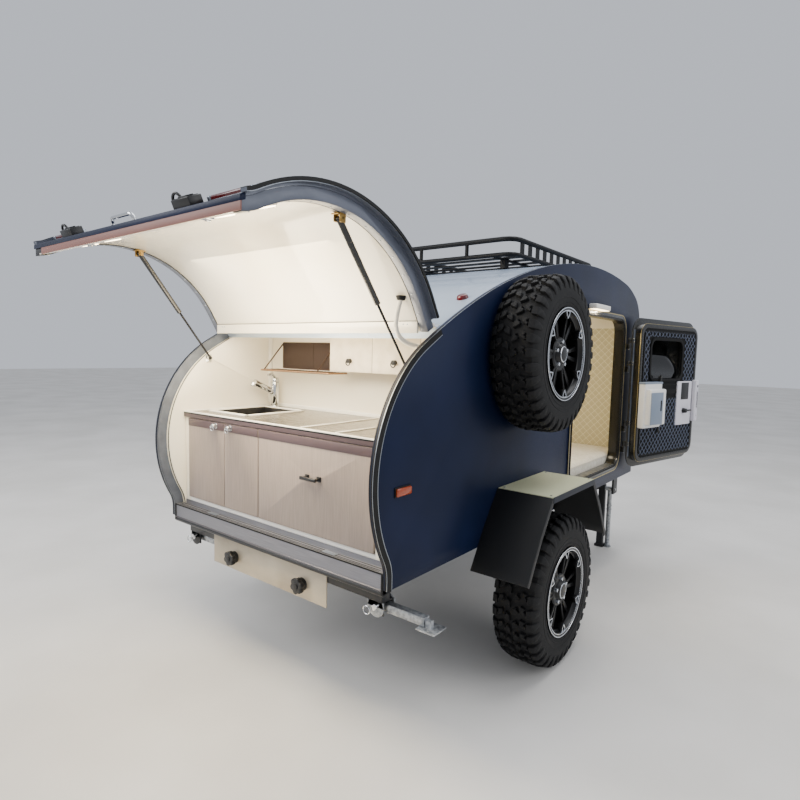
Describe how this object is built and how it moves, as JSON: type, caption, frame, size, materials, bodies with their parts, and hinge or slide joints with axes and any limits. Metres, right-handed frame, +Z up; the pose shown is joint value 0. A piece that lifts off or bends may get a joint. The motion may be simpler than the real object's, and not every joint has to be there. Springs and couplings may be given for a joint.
{
  "type": "teardrop trailer",
  "caption": "Small teardrop camping trailer on one axle, with a rear galley hatch open, a side door open, roof basket and side spare wheel.",
  "frame": {"origin": "centre of the tow ball in the coupling head", "axes": "+Y is the way it is towed, +X to the right, +Z up"},
  "size_m": [2.0463, 4.7512, 2.1614],
  "materials": {
    "body_paint": "satin dark navy paint",
    "roof_sheet": "smooth pale silver-blue sheet",
    "floor_board": "sealed board",
    "sill_metal": "grey brushed sheet",
    "hinge_metal": "satin extrusion",
    "conduit_white": "white corrugated conduit",
    "lock_white": "white plate and cream block",
    "lining": "cream lining",
    "frame_black": "black powder coat",
    "lamp_white": "clear white lens",
    "lamp_red": "red lens",
    "galvanised": "zinc plated steel",
    "rubber": "tyre rubber",
    "alloy_black": "gloss black alloy with machined lip",
    "cabinet_board": "taupe laminate",
    "stainless": "brushed stainless",
    "chrome": "polished chrome",
    "shelf_wire": "bronze wire and mesh",
    "mattress_cloth": "cream cloth",
    "hatch_paint": "grey-blue flange and dark skin",
    "strut_black": "black tube",
    "strut_steel": "dark steel rod",
    "door_black": "black leaf",
    "window_glass": "dark tinted pane",
    "bin_white": "white box with a grey lid"
  },
  "bodies": {
    "root": {"side_wall_right": "body_paint", "side_wall_left": "body_paint", "roof_panel": "roof_sheet", "nose_panel": "roof_sheet", "floor": "floor_board", "rear_sill": "sill_metal", "galley_bulkhead": "lining", "door_frame_right": "frame_black", "door_frame_left": "frame_black", "porch_lamps": "lamp_white", "chassis": "galvanised", "drawbar": "galvanised", "tow_coupling": "galvanised", "axle": "galvanised", "fender_right": "frame_black", "fender_left": "frame_black", "rear_plate": "sill_metal", "spare_carrier": "frame_black", "spare_tyre": "rubber", "spare_rim": "alloy_black", "roof_rack": "frame_black", "base_cabinet": "cabinet_board", "worktop": "stainless", "tap": "chrome", "upper_cabinet": "cabinet_board", "wire_shelf": "shelf_wire", "mattress": "mattress_cloth", "jockey_sleeve": "galvanised", "hatch_hinge": "hinge_metal", "conduit": "conduit_white"},
    "hatch": {"hatch_shell": "hatch_paint", "hatch_liner": "lining", "hatch_locks": "frame_black", "hatch_handle": "chrome", "tail_lamps": "lamp_red"},
    "door_right": {"door_leaf_right": "door_black", "door_window_right": "window_glass", "door_bin": "bin_white", "door_lock": "lock_white"},
    "door_left": {"door_leaf_left": "door_black", "door_window_left": "window_glass"},
    "galley_door_left": {"galley_door_left": "cabinet_board"},
    "galley_door_middle": {"galley_door_middle": "cabinet_board"},
    "galley_drawer": {"galley_drawer": "cabinet_board"},
    "upper_door_left": {"upper_door_left": "cabinet_board"},
    "upper_door_right": {"upper_door_right": "cabinet_board"},
    "jockey_leg": {"jockey_leg": "galvanised"},
    "jockey_wheel": {"jockey_wheel": "rubber"},
    "wheel_right": {"tyre_right": "rubber", "rim_right": "alloy_black"},
    "strut_tube_right": {"strut_tube_right": "strut_black"},
    "strut_rod_right": {"strut_rod_right": "strut_steel"},
    "rear_leg_right": {"rear_leg_right": "galvanised"},
    "front_leg_right": {"front_leg_right": "galvanised"},
    "wheel_left": {"tyre_left": "rubber", "rim_left": "alloy_black"},
    "strut_tube_left": {"strut_tube_left": "strut_black"},
    "strut_rod_left": {"strut_rod_left": "strut_steel"},
    "rear_leg_left": {"rear_leg_left": "galvanised"},
    "front_leg_left": {"front_leg_left": "galvanised"}
  },
  "joints": [
    {"name": "hatch_swing", "type": "hinge", "parent": "root", "child": "hatch", "pos_m": [0, -3.806, 1.16], "axis": [-1, 0, 0], "range_deg": [-90, 0], "deforming": ["conduit"]},
    {"name": "wheel_turn_right", "type": "hinge", "parent": "root", "child": "wheel_right", "pos_m": [0.865, -3.038, -0.0825], "axis": [1, 0, 0], "continuous": true},
    {"name": "strut_tube_swing_right", "type": "hinge", "parent": "hatch", "child": "strut_tube_right", "pos_m": [0.645, -4.295, 1.48], "axis": [-1, 0, 0], "range_deg": [-21.05, 0.1]},
    {"name": "strut_rod_slide_right", "type": "slide", "parent": "strut_tube_right", "child": "strut_rod_right", "axis": [0, 0.6105, -0.792], "range_m": [-0.221, 0.0005]},
    {"name": "rear_leg_swing_right", "type": "hinge", "parent": "root", "child": "rear_leg_right", "pos_m": [0.62, -4.01, 0.085], "axis": [0, 1, 0], "range_deg": [0, 90]},
    {"name": "front_leg_swing_right", "type": "hinge", "parent": "root", "child": "front_leg_right", "pos_m": [0.5025, -1.1575, 0.02], "axis": [-1, 0, 0], "range_deg": [0, 90]},
    {"name": "wheel_turn_left", "type": "hinge", "parent": "root", "child": "wheel_left", "pos_m": [-0.865, -3.038, -0.0825], "axis": [1, 0, 0], "continuous": true},
    {"name": "strut_tube_swing_left", "type": "hinge", "parent": "hatch", "child": "strut_tube_left", "pos_m": [-0.645, -4.295, 1.48], "axis": [-1, 0, 0], "range_deg": [-21.05, 0.1]},
    {"name": "strut_rod_slide_left", "type": "slide", "parent": "strut_tube_left", "child": "strut_rod_left", "axis": [0, 0.6105, -0.792], "range_m": [-0.221, 0.0005]},
    {"name": "rear_leg_swing_left", "type": "hinge", "parent": "root", "child": "rear_leg_left", "pos_m": [-0.6, -4.01, 0.085], "axis": [0, 1, 0], "range_deg": [0, 90]},
    {"name": "front_leg_swing_left", "type": "hinge", "parent": "root", "child": "front_leg_left", "pos_m": [-0.5025, -1.1575, 0.02], "axis": [-1, 0, 0], "range_deg": [0, 90]},
    {"name": "door_swing_right", "type": "hinge", "parent": "root", "child": "door_right", "pos_m": [0.75, -1.519, 0.8015], "axis": [0, 0, 1], "range_deg": [-167, 0]},
    {"name": "door_swing_left", "type": "hinge", "parent": "root", "child": "door_left", "pos_m": [-0.75, -1.519, 0.8015], "axis": [0, 0, -1], "range_deg": [0, 167]},
    {"name": "galley_door_left_swing", "type": "hinge", "parent": "root", "child": "galley_door_left", "pos_m": [-0.622, -4.066, 0.5], "axis": [0, 0, -1], "range_deg": [0, 90]},
    {"name": "galley_door_middle_swing", "type": "hinge", "parent": "root", "child": "galley_door_middle", "pos_m": [-0.068, -4.066, 0.5], "axis": [0, 0, 1], "range_deg": [0, 90]},
    {"name": "galley_drawer_slide", "type": "slide", "parent": "root", "child": "galley_drawer", "axis": [0, -1, 0], "range_m": [0, 0.45]},
    {"name": "upper_door_left_swing", "type": "hinge", "parent": "root", "child": "upper_door_left", "pos_m": [0.0945, -3.65, 1.134], "axis": [-1, 0, 0], "range_deg": [0, 55]},
    {"name": "upper_door_right_swing", "type": "hinge", "parent": "root", "child": "upper_door_right", "pos_m": [0.3715, -3.65, 1.134], "axis": [-1, 0, 0], "range_deg": [0, 55]},
    {"name": "jockey_leg_slide", "type": "slide", "parent": "root", "child": "jockey_leg", "axis": [0, 0, 1], "range_m": [0, 0.2]},
    {"name": "jockey_wheel_turn", "type": "hinge", "parent": "jockey_leg", "child": "jockey_wheel", "pos_m": [0, -0.43, -0.35], "axis": [1, 0, 0], "continuous": true}
  ],
  "couplings": [
    {"joint": "strut_tube_swing_right", "follows": "hatch_swing", "ratio": 0.23279},
    {"joint": "strut_rod_slide_right", "follows": "hatch_swing", "m_per_rad": 0.14038},
    {"joint": "strut_tube_swing_left", "follows": "hatch_swing", "ratio": 0.23279},
    {"joint": "strut_rod_slide_left", "follows": "hatch_swing", "m_per_rad": 0.14038}
  ]
}
